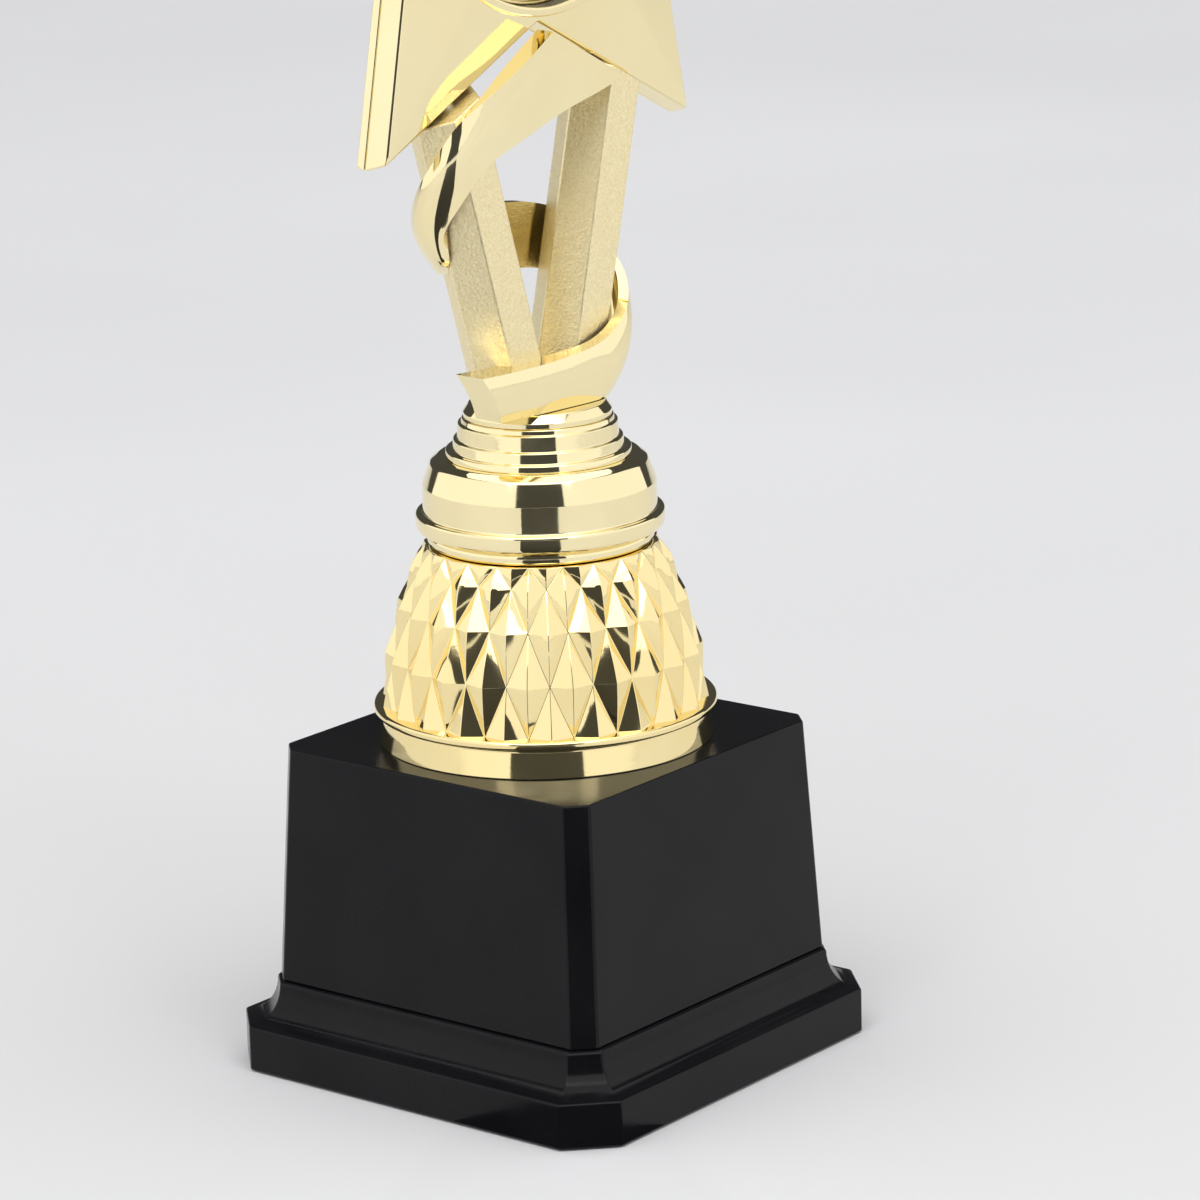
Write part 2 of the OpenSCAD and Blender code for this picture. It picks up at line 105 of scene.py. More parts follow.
def new_material(name):
    """A material with one Principled shader; returns (material, node tree, shader)."""
    material = bpy.data.materials.new(name)
    material.use_nodes = True
    tree = material.node_tree
    return material, tree, tree.nodes["Principled BSDF"]


def add(tree, kind, **inputs):
    """A new node with the given input values; underscores in names stand for spaces."""
    node = tree.nodes.new(kind)
    for key, value in inputs.items():
        node.inputs[key.replace("_", " ")].default_value = value
    return node


def noise(tree, scale, detail=3.0, rough=0.5):
    """Noise in object coordinates; scale is in features per metre."""
    place = tree.nodes.new("ShaderNodeTexCoord")
    node = add(tree, "ShaderNodeTexNoise", Scale=scale, Detail=detail, Roughness=rough)
    tree.links.new(place.outputs["Object"], node.inputs["Vector"])
    return node.outputs["Fac"]


def ramp(tree, source, stops):
    """Colour ramp over a value; stops are (position, (r, g, b))."""
    node = tree.nodes.new("ShaderNodeValToRGB")
    elements = node.color_ramp.elements
    while len(elements) < len(stops):
        elements.new(0.5)
    for element, (position, colour) in zip(elements, stops):
        element.position = position
        element.color = (*colour, 1)
    tree.links.new(source, node.inputs["Fac"])
    return node.outputs["Color"]


def spread(tree, source, low, high, from_low=0.35, from_high=0.65):
    """Maps a value to the range from low to high."""
    node = tree.nodes.new("ShaderNodeMapRange")
    node.inputs["From Min"].default_value = from_low
    node.inputs["From Max"].default_value = from_high
    node.inputs["To Min"].default_value = low
    node.inputs["To Max"].default_value = high
    tree.links.new(source, node.inputs["Value"])
    return node.outputs["Result"]


def bump(tree, shader, *layers):
    """Stacks bump layers of (height, distance in metres, strength) on the shader."""
    normal = None
    for height, distance, strength in layers:
        node = add(tree, "ShaderNodeBump", Distance=distance, Strength=strength)
        tree.links.new(height, node.inputs["Height"])
        if normal:
            tree.links.new(normal, node.inputs["Normal"])
        normal = node.outputs["Normal"]
    tree.links.new(normal, shader.inputs["Normal"])


def polished_gold(name="gold_polished", pale=(0.96, 0.85, 0.53), deep=(0.94, 0.81, 0.47)):
    """Bright plated plastic: nearly a mirror, with the faint waviness of a moulding."""
    material, tree, shader = new_material(name)
    shader.inputs["Metallic"].default_value = 1.0
    tint = ramp(tree, noise(tree, 38, 3), [(0.3, deep), (0.7, pale)])
    tree.links.new(tint, shader.inputs["Base Color"])
    tree.links.new(spread(tree, noise(tree, 160, 4), 0.04, 0.085), shader.inputs["Roughness"])
    bump(tree, shader, (noise(tree, 60, 1), 0.0006, 0.03), (noise(tree, 1400, 2), 0.00004, 0.04))
    return material


def sand_gold():
    """Plating over a fine granular texture."""
    material, tree, shader = new_material("gold_sand")
    shader.inputs["Metallic"].default_value = 1.0
    grain = noise(tree, 2400, 2, 0.6)
    tint = ramp(tree, grain, [(0.3, (0.84, 0.71, 0.40)), (0.7, (0.96, 0.86, 0.57))])
    tree.links.new(tint, shader.inputs["Base Color"])
    tree.links.new(spread(tree, noise(tree, 900, 3), 0.38, 0.5), shader.inputs["Roughness"])
    bump(tree, shader, (noise(tree, 1500, 2, 0.7), 0.0003, 0.28), (grain, 0.0002, 0.32))
    return material


def black_plastic():
    """Satin moulded black plastic with a very fine texture and faint handling marks."""
    material, tree, shader = new_material("base_black")
    tint = ramp(tree, noise(tree, 60, 4), [(0.3, (0.004, 0.004, 0.005)), (0.7, (0.007, 0.007, 0.008))])
    tree.links.new(tint, shader.inputs["Base Color"])
    shader.inputs["Specular IOR Level"].default_value = 0.16
    tree.links.new(spread(tree, noise(tree, 220, 5), 0.15, 0.22), shader.inputs["Roughness"])
    bump(tree, shader, (noise(tree, 2600, 2), 0.00004, 0.25), (noise(tree, 45, 1), 0.0005, 0.05))
    return material


def zinc_steel():
    material, tree, shader = new_material("hardware")
    shader.inputs["Metallic"].default_value = 1.0
    tint = ramp(tree, noise(tree, 300, 4), [(0.3, (0.50, 0.51, 0.53)), (0.7, (0.68, 0.68, 0.69))])
    tree.links.new(tint, shader.inputs["Base Color"])
    tree.links.new(spread(tree, noise(tree, 900, 4), 0.25, 0.42), shader.inputs["Roughness"])
    bump(tree, shader, (noise(tree, 1600, 3), 0.00008, 0.3))
    return material


def turned_brass():
    material, tree, shader = new_material("brass_insert")
    shader.inputs["Metallic"].default_value = 1.0
    tint = ramp(tree, noise(tree, 260, 4), [(0.3, (0.60, 0.42, 0.16)), (0.7, (0.76, 0.58, 0.27))])
    tree.links.new(tint, shader.inputs["Base Color"])
    tree.links.new(spread(tree, noise(tree, 700, 4), 0.22, 0.38), shader.inputs["Roughness"])
    bump(tree, shader, (noise(tree, 1500, 3), 0.00006, 0.3))
    return material


def black_felt():
    material, tree, shader = new_material("felt")
    shader.inputs["Sheen Weight"].default_value = 0.3
    shader.inputs["Roughness"].default_value = 0.95
    tint = ramp(tree, noise(tree, 1500, 4), [(0.3, (0.010, 0.010, 0.011)), (0.7, (0.045, 0.045, 0.05))])
    tree.links.new(tint, shader.inputs["Base Color"])
    bump(tree, shader, (noise(tree, 2200, 4, 0.7), 0.0004, 0.8))
    return material


def cast_ballast():
    material, tree, shader = new_material("ballast")
    shader.inputs["Metallic"].default_value = 0.6
    tint = ramp(tree, noise(tree, 200, 5), [(0.3, (0.12, 0.12, 0.12)), (0.7, (0.25, 0.24, 0.23))])
    tree.links.new(tint, shader.inputs["Base Color"])
    tree.links.new(spread(tree, noise(tree, 400, 5), 0.5, 0.8), shader.inputs["Roughness"])
    bump(tree, shader, (noise(tree, 500, 5, 0.7), 0.0005, 0.6))
    return material


def blank_disc():
    """Plain satin metal disc under the clear dome."""
    material, tree, shader = new_material("insert_print")
    shader.inputs["Metallic"].default_value = 0.9
    tint = ramp(tree, noise(tree, 50, 3), [(0.3, (0.84, 0.73, 0.47)), (0.7, (0.87, 0.76, 0.50))])
    tree.links.new(tint, shader.inputs["Base Color"])
    tree.links.new(spread(tree, noise(tree, 300, 4), 0.26, 0.36), shader.inputs["Roughness"])
    bump(tree, shader, (noise(tree, 1200, 3), 0.00005, 0.3))
    return material


def clear_resin():
    material, tree, shader = new_material("clear_dome")
    shader.inputs["Transmission Weight"].default_value = 1.0
    shader.inputs["IOR"].default_value = 1.5
    tint = ramp(tree, noise(tree, 40, 2), [(0.3, (0.97, 0.97, 0.96)), (0.7, (1.0, 1.0, 0.99))])
    tree.links.new(tint, shader.inputs["Base Color"])
    tree.links.new(spread(tree, noise(tree, 200, 3), 0.02, 0.03), shader.inputs["Roughness"])
    bump(tree, shader, (noise(tree, 60, 1), 0.0003, 0.015))
    return material


MATERIALS = {
    "gold_polished": polished_gold(),
    "gold_sand": sand_gold(),
    "base_black": black_plastic(),
    "hardware": zinc_steel(),
    "brass_insert": turned_brass(),
    "felt": black_felt(),
    "ballast": cast_ballast(),
    "insert_print": blank_disc(),
    "clear_dome": clear_resin(),
}

DOME_GOLD = polished_gold("gold_dome", (0.96, 0.82, 0.45), (0.94, 0.76, 0.37))

for part in frame["record"]["subparts"]:
    mesh = frame["nodes"][part["node"]].data
    mesh.materials.clear()
    mesh.materials.append(MATERIALS[part["material_slot"]])

# ---------------------------------------------------------------- mesh tools


def piece(name, node, slot, points, faces, sharp=35):
    """A piece that stands for one CAD node. Points are in millimetres."""
    mesh = bpy.data.meshes.new(name)
    mesh.from_pydata([Vector(p) * MM for p in points], [], faces)
    return finish_piece(name, node, slot, mesh, sharp)


def finish_piece(name, node, slot, mesh, sharp=35):
    work = bmesh.new()
    work.from_mesh(mesh)
    bmesh.ops.remove_doubles(work, verts=work.verts, dist=1e-6)
    bmesh.ops.recalc_face_normals(work, faces=work.faces)
    work.to_mesh(mesh)
    work.free()
    mesh.shade_smooth()
    mesh.set_sharp_from_angle(angle=math.radians(sharp))
    mesh.materials.append(MATERIALS[slot])
    made = bpy.data.objects.new(name, mesh)
    bpy.context.scene.collection.objects.link(made)
    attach(made, "root")
    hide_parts(node)
    return made


def soften(made, width, segments=3, angle=20):
    """Rounds the edges of a piece; width in millimetres."""
    modifier = made.modifiers.new("soft_edges", "BEVEL")
    modifier.width = width * MM
    modifier.segments = segments
    modifier.limit_method = "ANGLE"
    modifier.angle_limit = math.radians(angle)
    modifier.harden_normals = True


def rounded(corners, steps=6):
    """A path whose corners (across, up, radius) are rounded with arcs."""
    path = []
    for k, (x, z, radius) in enumerate(corners):
        here = Vector((x, z))
        if radius <= 0 or k in (0, len(corners) - 1):
            path.append((x, z))
            continue
        before = Vector(corners[k - 1][:2]) - here
        after = Vector(corners[k + 1][:2]) - here
        half = before.angle(after) / 2
        reach = min(radius / math.tan(half), 0.49 * before.length, 0.49 * after.length)
        start = here + before.normalized() * reach
        end = here + after.normalized() * reach
        for j in range(steps + 1):
            t = j / steps
            spot = start.lerp(here, t).lerp(here.lerp(end, t), t)
            path.append((spot.x, spot.y))
    return path


def lathe(name, node, slot, corners, sides=144, sharp=35, steps=6):
    """A turned piece from a path of (radius, level, rounding) corners."""
    path = rounded(corners, steps)
    points, faces = [], []
    for radius, z in path:
        for j in range(sides):
            a = 2 * math.pi * j / sides
            points.append((radius * math.cos(a), radius * math.sin(a), z))
    for k in range(len(path) - 1):
        for j in range(sides):
            m = (j + 1) % sides
            faces.append((k * sides + j, k * sides + m, (k + 1) * sides + m, (k + 1) * sides + j))
    last = (len(path) - 1) * sides
    faces.append(tuple(range(sides))[::-1])
    faces.append(tuple(range(last, last + sides)))
    return piece(name, node, slot, points, faces, sharp)


def octagon(half, cut, z):
    """Corners of a square ring with cut corners."""
    k = half - cut
    spots = [(half, -k), (half, k), (k, half), (-k, half), (-half, k), (-half, -k), (-k, -half), (k, -half)]
    return [(x, y, z) for x, y in spots]


def stack(name, node, slot, rings, sharp=30):
    """A closed piece lofted through rings of equal length."""
    size = len(rings[0])
    points = [p for ring in rings for p in ring]
    faces = [tuple(range(size))[::-1], tuple(range(len(points) - size, len(points)))]
    for k in range(len(rings) - 1):
        for j in range(size):
            m = (j + 1) % size
            faces.append((k * size + j, k * size + m, (k + 1) * size + m, (k + 1) * size + j))
    return piece(name, node, slot, points, faces, sharp)


# ---------------------------------------------------------------- base

PLINTH_HALF = half_width("plinth")
PLINTH_LOW = level("plinth", 0)
PLINTH_TOP = level("base_block", 0)
BLOCK_TOP = level("base_block", 1)
BLOCK_HALF = half_width("base_block")
BLOCK_TOP_HALF = BLOCK_HALF - 1.95         # the block's sides lean in
PLINTH_CUT = 7.1
BAND_TOP = 7.8
LEDGE = 0.7                                # flat step between the band and the cove
LEDGE_RISE = 0.25
COVE_TOP = 14.2
COVE_TOP_HALF = 34.5
COVE_TOP_CUT = 3.9
BLOCK_CUT = 3.1


def make_plinth():
    """Upright band, a small ledge, and a cove that rises to the block."""
    cove_half, cove_cut, cove_low = PLINTH_HALF - LEDGE, PLINTH_CUT - 0.25, BAND_TOP + LEDGE_RISE
    rings = [octagon(PLINTH_HALF, PLINTH_CUT, PLINTH_LOW), octagon(PLINTH_HALF, PLINTH_CUT, BAND_TOP)]
    rings.append(octagon(cove_half, cove_cut, cove_low))
    steps = 10
    for k in range(steps + 1):
        a = math.pi / 2 * k / steps
        part = math.sin(a)
        rise = 1 - math.cos(a)
        half = cove_half - (cove_half - COVE_TOP_HALF) * part
        cut = cove_cut - (cove_cut - COVE_TOP_CUT) * part
        rings.append(octagon(half, cut, cove_low + (COVE_TOP - cove_low) * rise))
    rings.append(octagon(COVE_TOP_HALF - 0.5, COVE_TOP_CUT, PLINTH_TOP))
    made = stack("plinth_shell", "plinth", "base_black", rings)
    soften(made, 0.45, 3, 24)


def make_block():
    """Tapered block with narrow flats on its corners."""
    rings = [octagon(BLOCK_HALF, BLOCK_CUT, PLINTH_TOP), octagon(BLOCK_TOP_HALF, BLOCK_CUT, BLOCK_TOP)]
    made = stack("block_shell", "base_block", "base_black", rings)
    soften(made, 0.4, 3, 24)


# ---------------------------------------------------------------- riser

DOME_TOP = level("neck_ring", 0)
NECK_TOP = level("neck_ring", 1)
HUB_LOW = level("stepped_hub", 0)
FOOT_LOW = level("figure_foot", 0)
FOOT_TOP = level("figure_foot", 1)
FLANGE_R = 28.4
FOOT_BAND_R = 27.4
RIM_T = 1.3                                # the rim above the foot band
PATTERN_LOW = BLOCK_TOP + 5 + RIM_T
PATTERN_R = 27.2
NECK_R = 19.9
BEAD_R = 20.5
DRUM_R = 19.3
DIAMONDS = 22
DIAMOND_RISE = 1.5
PILLOW = 0.6
CELL_STEPS = 4
# level of each row of corners, as a part of the patterned height, and how deep its corners lie
PATTERN_ROWS = [(-0.01, 1), (0.31, 1), (0.625, 1), (0.872, 1), (1, 0.65)]


def dome_radius(z):
    part = max(0, z - PATTERN_LOW) / (DOME_TOP - PATTERN_LOW)
    return PATTERN_R - (PATTERN_R - NECK_R) * part ** 1.8


def dome_spot(across, up):
    """A point of the diamonds at a place counted in half diamonds round and rows up.

    Every diamond has a sharp upright ridge; a pillow rounds it from top to bottom.
    """
    sides = 2 * DIAMONDS
    row = min(int(up), len(PATTERN_ROWS) - 2)
    column = int(across)
    s, t = across - column, up - row
    deep = [PATTERN_ROWS[row][1], PATTERN_ROWS[row + 1][1]]
    levels = [PATTERN_LOW + (DOME_TOP - PATTERN_LOW) * PATTERN_ROWS[row + k][0] for k in (0, 1)]

    def corner(c, r):
        sunk = deep[r] if (column + c + row + r) % 2 == 0 else 1 - deep[r]
        return dome_radius(levels[r]) - DIAMOND_RISE * sunk

    if (column + row) % 2 == 0:
        low_side = t < s
        u, v = (1 - s, t) if low_side else (s, 1 - t)
        third = (1, 0) if low_side else (0, 1)
        start, end = (0, 0), (1, 1)
    else:
        low_side = s + t < 1
        u, v = (s, t) if low_side else (1 - s, 1 - t)
        third = (0, 0) if low_side else (1, 1)
        start, end = (1, 0), (0, 1)
    tall = 1 - u - v
    near = v if third[1] != start[1] else u
    far = 1 - tall - near
    r = tall * corner(*third) + near * corner(*start) + far * corner(*end)
    pillow = v * (1 - v / (1 - u)) if u < 0.999 else 0
    r += PILLOW * DIAMOND_RISE * pillow
    z = levels[0] + (levels[1] - levels[0]) * t
    a = 2 * math.pi * across / sides
    return (r * math.cos(a), r * math.sin(a), z)


def deepen(made):
    """Gives a piece of the dome its slightly warmer gold."""
    made.data.materials[0] = DOME_GOLD


def make_dome():
    """The foot band with its rim is turned; the diamonds rise from it to the neck."""
    around = 2 * DIAMONDS * CELL_STEPS
    rows = (len(PATTERN_ROWS) - 1) * CELL_STEPS
    points = [dome_spot(j / CELL_STEPS, k / CELL_STEPS) for k in range(rows + 1) for j in range(around)]
    faces = []
    for k in range(rows):
        for j in range(around):
            i, m = k * around + j, k * around + (j + 1) % around
            if (j // CELL_STEPS + k // CELL_STEPS) % 2 == 0:
                faces += [(i, m + around, i + around), (i, m, m + around)]
            else:
                faces += [(i, m, i + around), (m, m + around, i + around)]
    faces.append(tuple(range(rows * around, (rows + 1) * around)))
    faces.append(tuple(range(around))[::-1])
    made = piece("dome_diamonds", "riser_dome", "gold_polished", points, faces, 16)
    deepen(made)
    soften(made, 0.12, 2, 16)
    deepen(lathe("dome_foot", "riser_dome", "gold_polished", [
        (PATTERN_R - 3, BLOCK_TOP, 0), (FOOT_BAND_R + 0.5, BLOCK_TOP, 0.2),
        (FOOT_BAND_R - 0.5, BLOCK_TOP + 4.7, 0.5), (FLANGE_R, PATTERN_LOW - RIM_T, 0.6),
        (FLANGE_R, PATTERN_LOW, 0.6), (PATTERN_R - 2, PATTERN_LOW, 0),
    ], 192))


def make_neck():
    """Half-round ring under the collar."""
    r = NECK_R - 1.2
    lathe("neck_bead", "neck_ring", "gold_polished", [
        (6, DOME_TOP, 0), (r, DOME_TOP, 1.1), (r, NECK_TOP, 1.1), (6, NECK_TOP, 0),
    ])


def make_collar():
    """A bead, then the drum with its round shoulder."""
    lathe("collar_turning", "riser_collar", "gold_polished", [
        (10, NECK_TOP, 0), (BEAD_R, NECK_TOP, 1.6), (BEAD_R, NECK_TOP + 3.2, 1.6),
        (DRUM_R, NECK_TOP + 3.2, 0.3), (DRUM_R - 0.1, NECK_TOP + 7.8, 0.6),
        (DRUM_R - 1.45, HUB_LOW - 0.9, 0.9), (DRUM_R - 2.7, HUB_LOW, 0.7), (4, HUB_LOW, 0),
    ], 192)


# radius and height of each step, from the bottom up
HUB_STEPS = [(15.4, 1.2), (14.1, 1.8), (13.3, 2.6), (12.6, 0.9)]


def make_hub():
    corners = [(4, HUB_LOW, 0)]
    z = HUB_LOW
    for r, h in HUB_STEPS:
        corners += [(r, z, 0.2), (r - 0.2, z + h, 0.3)]
        z += h
    corners.append((4, z, 0))
    lathe("hub_turning", "stepped_hub", "gold_polished", corners)


FOOT_R = 12.2


def make_foot():
    lathe("figure_base", "figure_foot", "gold_polished", [
        (2, FOOT_LOW, 0), (FOOT_R, FOOT_LOW, 0.3), (FOOT_R, FOOT_LOW + 0.9, 0.3),
        (FOOT_R - 1, FOOT_TOP, 0.4), (2, FOOT_TOP, 0),
    ])


# ---------------------------------------------------------------- figure

FIGURE_TURN = math.radians(-6)
COLUMN_R = 6.5
COLUMN_SPREAD = 5.4
LEANS = {-1: math.radians(15.2), 1: math.radians(12.6)}
STAR_Z = (level("bezel", 0) + level("bezel", 1)) / 2
STAR_R = 60
NOTCH_R = 29.4
TIP_SIN, TIP_COS = math.sin(math.radians(54)), math.cos(math.radians(54))
LEG_SLOPE = math.atan((STAR_R * TIP_SIN - NOTCH_R) / (STAR_R * TIP_COS))
NOTCH_Z = STAR_Z - NOTCH_R


def turned(points):
    """Turns figure coordinates about the upright axis into the row frame."""
    c, s = math.cos(FIGURE_TURN), math.sin(FIGURE_TURN)
    return [(c * x - s * y, s * x + c * y, z) for x, y, z in points]


def slice_mesh(mesh, spot, normal):
    """Keeps the side of a plane that its normal points away from, and closes the cut."""
    work = bmesh.new()
    work.from_mesh(mesh)
    everything = work.verts[:] + work.edges[:] + work.faces[:]
    cut = bmesh.ops.bisect_plane(
        work, geom=everything, plane_co=Vector(spot) * MM, plane_no=Vector(normal), clear_outer=True
    )
    rim = [e for e in cut["geom_cut"] if isinstance(e, bmesh.types.BMEdge)]
    bmesh.ops.holes_fill(work, edges=rim, sides=0)
    work.to_mesh(mesh)
    work.free()


def turn_mesh(mesh):
    mesh.transform(Matrix.Rotation(FIGURE_TURN, 4, "Z"))


def make_column(side, name, node):
    """Hexagonal bar that leans outwards, mitred in the middle and cut under the star's leg."""
    lean = LEANS[side]
    points = []
    for along in (-20, 90):
        for j in range(6):
            a = math.pi / 3 * j
            x, y = COLUMN_R * math.cos(a), COLUMN_R * math.sin(a)
            points.append((
                side * COLUMN_SPREAD + x * math.cos(side * lean) + along * math.sin(side * lean),
                y,
                FOOT_TOP - x * math.sin(side * lean) + along * math.cos(side * lean),
            ))
    faces = [tuple(range(6))[::-1], tuple(range(6, 12))]
    faces += [(j, (j + 1) % 6, 6 + (j + 1) % 6, 6 + j) for j in range(6)]
    mesh = bpy.data.meshes.new(name)
    mesh.from_pydata([Vector(p) * MM for p in points], [], faces)
    slice_mesh(mesh, (0, 0, FOOT_TOP), (0, 0, -1))
    slice_mesh(mesh, (side * 0.05, 0, 0), (-side, 0, 0))
    slice_mesh(mesh, (0, 0, NOTCH_Z - 0.1), (side * math.sin(LEG_SLOPE), 0, math.cos(LEG_SLOPE)))
    turn_mesh(mesh)
    made = finish_piece(name, node, "gold_sand", mesh)
    soften(made, 0.35, 3, 20)


# Stations along the ribbon's outer face: across, depth, lower edge, upper edge, how far the lower
# edge sits inside the upper one, and extra thickness
RIBBON = [
    (-26, -9, 111.2, 119.2, 0.6, 4.4),
    (-13, -9, 111, 119, 0.6, 3.8),
    (-2, -9, 110.9, 119.4, 0.6, 2),
    (7, -8.8, 110.9, 120.8, 0.8, 0.6),
    (13.6, -7.4, 110.9, 124.4, 3, 0),
    (17.1, -4.4, 111.8, 128.8, 5, -0.2),
    (18.7, 0.2, 116, 132.6, 4.6, -0.4),
    (17.9, 4.6, 123.4, 136.2, 2.2, -0.2),
    (14, 7.8, 128.6, 139.4, 0.8, 0),
    (6.4, 8.9, 130.9, 141.8, 0, 0),
    (-4, 9, 131.7, 143, 0.2, 0),
    (-13.4, 8.8, 132.8, 144.4, 1.4, 0),
    (-20.1, 6.1, 134.2, 145.8, 3.4, -0.2),
    (-24, 1.5, 136.6, 148.6, 3.6, -0.4),
    (-24.5, -2.6, 140.6, 153.4, 2.8, -0.4),
    (-21.8, -6, 146.2, 159.5, 0.9, -0.2),
    (-16.6, -7.6, 152.5, 163.2, 0.2, 0.2),
    (-9.1, -7.9, 155.7, 167.4, 0.1, 1.6),
    (0.2, -7.6, 158.9, 173, 0, 1.8),
    (10, -7.4, 161.4, 178, 0, 2.2),
    (20.2, -6.9, 164.5, 183, 0, 2.4),
]
RIBBON_WALL = 1.8
RIBBON_BULGE = 1.0
RIBBON_STEPS = 10
RIBBON_LEVELS = 8
TAIL_CUT, TAIL_ANGLE = (-17.2, 0, 112.2), math.radians(29)
END_CUT, END_ANGLE = (-1.3, 0, 171.8), math.radians(29.2)


def curve(rows, t):
    """Catmull-Rom curve through rows of numbers; t runs from 0 to the last index."""
    last = len(rows) - 1
    i = min(int(t), last - 1)
    f = t - i
    a, b, c, d = rows[max(i - 1, 0)], rows[i], rows[i + 1], rows[min(i + 2, last)]
    return [
        0.5 * (2 * q + (r - p) * f + (2 * p - 5 * q + 4 * r - s) * f ** 2
               + (3 * q - p - 3 * r + s) * f ** 3)
        for p, q, r, s in zip(a, b, c, d)
    ]


def ribbon_ring(t):
    """One section of the ribbon: up its bulging outside and down its inside."""
    x, y, low, high, inset, extra = curve(RIBBON, t)
    ahead, behind = curve(RIBBON, t + 0.01), curve(RIBBON, t - 0.01)
    along = Vector((ahead[0] - behind[0], ahead[1] - behind[1])).normalized()
    out = Vector((along.y, -along.x))
    wall = RIBBON_WALL + extra
    bulge = RIBBON_BULGE * min(1, inset)
    ring = []
    for k in range(RIBBON_LEVELS + 1):
        h = k / RIBBON_LEVELS
        depth = inset * (1 - h) ** 2.2 - bulge * 4 * h * (1 - h)
        ring.append((x - out.x * depth, y - out.y * depth, low + (high - low) * h))
    inner = [(px - out.x * wall, py - out.y * wall, z) for px, py, z in reversed(ring)]
    return ring + inner


def make_ribbon():
    """Lofts the ribbon, then cuts its slanted tail and its end under the star's right leg."""
    last = len(RIBBON) - 1
    count = last * RIBBON_STEPS
    margin = 0.011                         # keeps the slope's samples inside the list
    rings = [ribbon_ring(min(max(k / RIBBON_STEPS, margin), last - margin)) for k in range(count + 1)]
    size = len(rings[0])
    points = [p for ring in rings for p in ring]
    faces = [tuple(range(size)), tuple(range(len(points) - size, len(points)))[::-1]]
    for k in range(count):
        for j in range(size):
            m = (j + 1) % size
            faces.append((k * size + j, (k + 1) * size + j, (k + 1) * size + m, k * size + m))
    mesh = bpy.data.meshes.new("ribbon_band")
    mesh.from_pydata([Vector(p) * MM for p in points], [], faces)
    slice_mesh(mesh, TAIL_CUT, (-math.cos(TAIL_ANGLE), 0, -math.sin(TAIL_ANGLE)))
    slice_mesh(mesh, END_CUT, (math.sin(END_ANGLE), 0, math.cos(END_ANGLE)))
    turn_mesh(mesh)
    made = finish_piece("ribbon_band", "ribbon", "gold_polished", mesh, 50)
    soften(made, 0.3, 3, 50)


# ---------------------------------------------------------------- star

STAR_FACE_Y = -2.7
SEAM_Y = 1.6
STAR_BACK_Y = 3.8
STAR_RISE = 4
BEZEL_R = 27.6
INSERT_R = 25
TIP_GROW, NOTCH_GROW = 2.2, 1.1            # how far tips and notches move when the outline grows by 1
FRONT_INSET = 0.7                          # the front outline is this much smaller than the seam
POCKET_Y = SEAM_Y - 2.6                    # floor of the pocket for bezel and insert
BACKING_T = 1.2
DISC_T = 0.8


def star_outline(grow, y):
    """Ten corners of the star's outline in figure coordinates, grown outwards."""
    spots = []
    for k in range(10):
        r = STAR_R + grow * TIP_GROW if k % 2 == 0 else NOTCH_R + grow * NOTCH_GROW
        a = math.radians(90 + 36 * k)
        spots.append((r * math.cos(a), y, STAR_Z + r * math.sin(a)))
    return spots


def make_star_front():
    """The ridged front: facets run from the outline to the edge of the bezel's pocket."""
    peak = Vector((0, STAR_FACE_Y - STAR_RISE, STAR_Z))
    rear = star_outline(0, SEAM_Y)
    front = star_outline(-FRONT_INSET, STAR_FACE_Y)
    inner = []
    for k, spot in enumerate(front):
        r = STAR_R - FRONT_INSET * TIP_GROW if k % 2 == 0 else NOTCH_R - FRONT_INSET * NOTCH_GROW
        inner.append(tuple(peak.lerp(Vector(spot), (BEZEL_R - 0.8) / r)))
    sunk = [(x, SEAM_Y, z) for x, y, z in inner]
    points = turned(rear + front + inner + sunk)
    faces = []
    for k in range(10):
        m = (k + 1) % 10
        for ring in range(3):
            faces.append((ring * 10 + k, ring * 10 + m, (ring + 1) * 10 + m, (ring + 1) * 10 + k))
        faces.append((30 + k, 30 + m, m, k))
    made = piece("star_face", "star_front", "gold_polished", points, faces, 12)
    soften(made, 0.55, 4, 7)


def make_star_back():
    """The flat back shell, from the seam to the rear."""
    rear = star_outline(-0.4, STAR_BACK_Y)
    front = star_outline(0, SEAM_Y)
    points = turned(rear + front)
    faces = [tuple(range(10)), tuple(range(10, 20))[::-1]]
    faces += [(k, 10 + k, 10 + (k + 1) % 10, (k + 1) % 10) for k in range(10)]
    made = piece("star_rear", "star_back", "gold_polished", points, faces, 12)
    soften(made, 0.4, 3, 10)


def facing(name, node, slot, corners, y, sides=144):
    """A turned piece on the star's axis: corners are (radius, height towards the front, rounding)."""
    made = lathe(name, node, slot, corners, sides)
    upright = Matrix.Rotation(math.radians(90), 4, "X")
    place = Matrix.Translation(Vector((0, y, STAR_Z)) * MM)
    made.data.transform(Matrix.Rotation(FIGURE_TURN, 4, "Z") @ place @ upright)
    return made


def make_bezel():
    facing("bezel_rim", "bezel", "gold_polished", [
        (INSERT_R - 2, 0, 0), (BEZEL_R, 0, 0), (BEZEL_R, 4.3, 0.9), (BEZEL_R - 1.5, 4.3, 0.5),
        (INSERT_R + 0.2, 2.2, 1.2), (INSERT_R + 0.1, BACKING_T, 0), (INSERT_R - 2, BACKING_T, 0),
    ], POCKET_Y, 192)


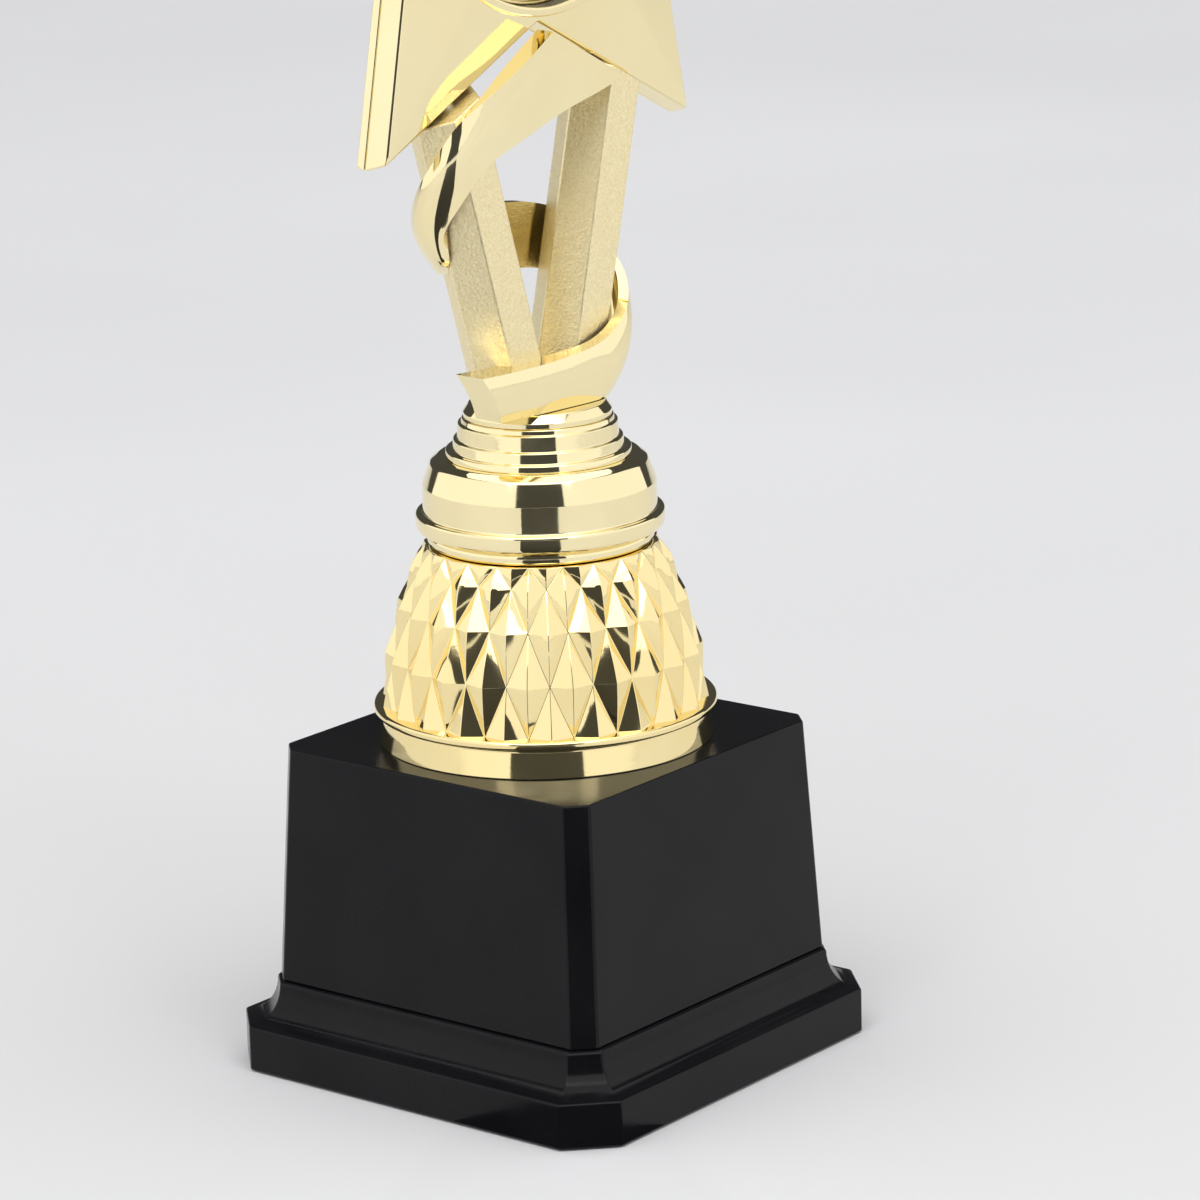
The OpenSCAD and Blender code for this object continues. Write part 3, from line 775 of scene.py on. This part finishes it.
def make_insert():
    """The disc in the bezel and the clear lens on it."""
    facing("insert_disc", "centre_insert", "insert_print", [
        (0.5, 0, 0), (INSERT_R, 0, 0.1), (INSERT_R, DISC_T, 0.1), (0.5, DISC_T, 0),
    ], POCKET_Y - BACKING_T)
    r = INSERT_R - 0.6
    facing("insert_lens", "insert_dome", "clear_dome", [
        (0.5, 0.02, 0), (r, 0.02, 0), (r, 0.3, 0.25),
        (r * 0.75, 0.85, 6), (r * 0.4, 1.15, 6), (0.5, 1.2, 0),
    ], POCKET_Y - BACKING_T - DISC_T)


make_plinth()
make_block()
make_dome()
make_neck()
make_collar()
make_hub()
make_foot()
make_column(-1, "column_left", "left_column")
make_column(1, "column_right", "right_column")
make_ribbon()
make_star_front()
make_star_back()
make_bezel()
make_insert()

# ---------------------------------------------------------------- stage and light


def make_floor():
    material, tree, shader = new_material("floor")
    tint = ramp(tree, noise(tree, 3, 2), [(0.3, (0.74, 0.74, 0.75)), (0.7, (0.78, 0.78, 0.79))])
    tree.links.new(tint, shader.inputs["Base Color"])
    shader.inputs["Roughness"].default_value = 0.6
    mesh = bpy.data.meshes.new("floor")
    reach = 8
    corners = [(-reach, -reach, 0), (reach, -reach, 0), (reach, reach, 0), (-reach, reach, 0)]
    mesh.from_pydata(corners, [], [(0, 1, 2, 3)])
    mesh.materials.append(material)
    floor = bpy.data.objects.new("floor", mesh)
    bpy.context.scene.collection.objects.link(floor)


def softbox(name, azimuth, elevation, distance, width, height, radiance, rise=0.13):
    """A rectangular light that faces the trophy from a point that is rise metres above the floor.

    Azimuth 0 is in front, towards -Y.
    """
    data = bpy.data.lights.new(name, "AREA")
    data.shape = "RECTANGLE"
    data.size = width
    data.size_y = height
    data.energy = math.pi * width * height * radiance
    lamp = bpy.data.objects.new(name, data)
    a, e = math.radians(azimuth), math.radians(elevation)
    back = Vector((math.sin(a) * math.cos(e), -math.cos(a) * math.cos(e), math.sin(e)))
    lamp.location = back * distance + Vector((0, 0, rise))
    lamp.rotation_mode = "QUATERNION"
    lamp.rotation_quaternion = back.to_track_quat("Z", "Y")
    lamp.visible_camera = False
    bpy.context.scene.collection.objects.link(lamp)


def make_flag():
    """A black card flat on the floor, seen only as a dark streak down the middle of round parts."""
    material, tree, shader = new_material("flag")
    tint = ramp(tree, noise(tree, 5, 2), [(0.3, (0.01, 0.01, 0.01)), (0.7, (0.02, 0.02, 0.02))])
    tree.links.new(tint, shader.inputs["Base Color"])
    shader.inputs["Roughness"].default_value = 0.9
    toward = Vector((math.sin(CAMERA_AZIMUTH), -math.cos(CAMERA_AZIMUTH), 0))
    across = Vector((-toward.y, toward.x, 0))
    above_floor = Vector((0, 0, 0.0006))
    corners = [(0.03, -0.014), (0.03, 0.014), (1.6, 0.5), (1.6, -0.5)]
    mesh = bpy.data.meshes.new("flag")
    spots = [toward * d + across * w + above_floor for d, w in corners]
    mesh.from_pydata(spots, [], [(0, 1, 2, 3)])
    mesh.materials.append(material)
    flag = bpy.data.objects.new("flag", mesh)
    bpy.context.scene.collection.objects.link(flag)
    flag.visible_camera = False
    flag.visible_diffuse = False
    flag.visible_shadow = False


def make_world():
    """A dim surround, so that the lights and the floor alone shape the reflections."""
    world = bpy.data.worlds.new("studio")
    world.use_nodes = True
    background = world.node_tree.nodes["Background"]
    background.inputs["Color"].default_value = (0.80, 0.82, 0.85, 1)
    background.inputs["Strength"].default_value = 0.08
    bpy.context.scene.world = world


make_floor()
make_flag()
make_world()
VIEW = -51                                 # the lights are placed about the photo's viewing direction
SIDE = 77
softbox("softbox_left", VIEW - SIDE, 0, 6.0, 15.6, 7.8, 1.05, 3.91)
softbox("softbox_right", VIEW + SIDE, 0, 6.0, 15.6, 7.8, 1.0, 3.91)
softbox("softbox_top", VIEW, 88, 6.6, 9.0, 9.0, 1.4)
softbox("softbox_front", VIEW, 48, 6.6, 7.8, 3.9, 1.9)
bpy.context.scene.view_settings.view_transform = "Standard"
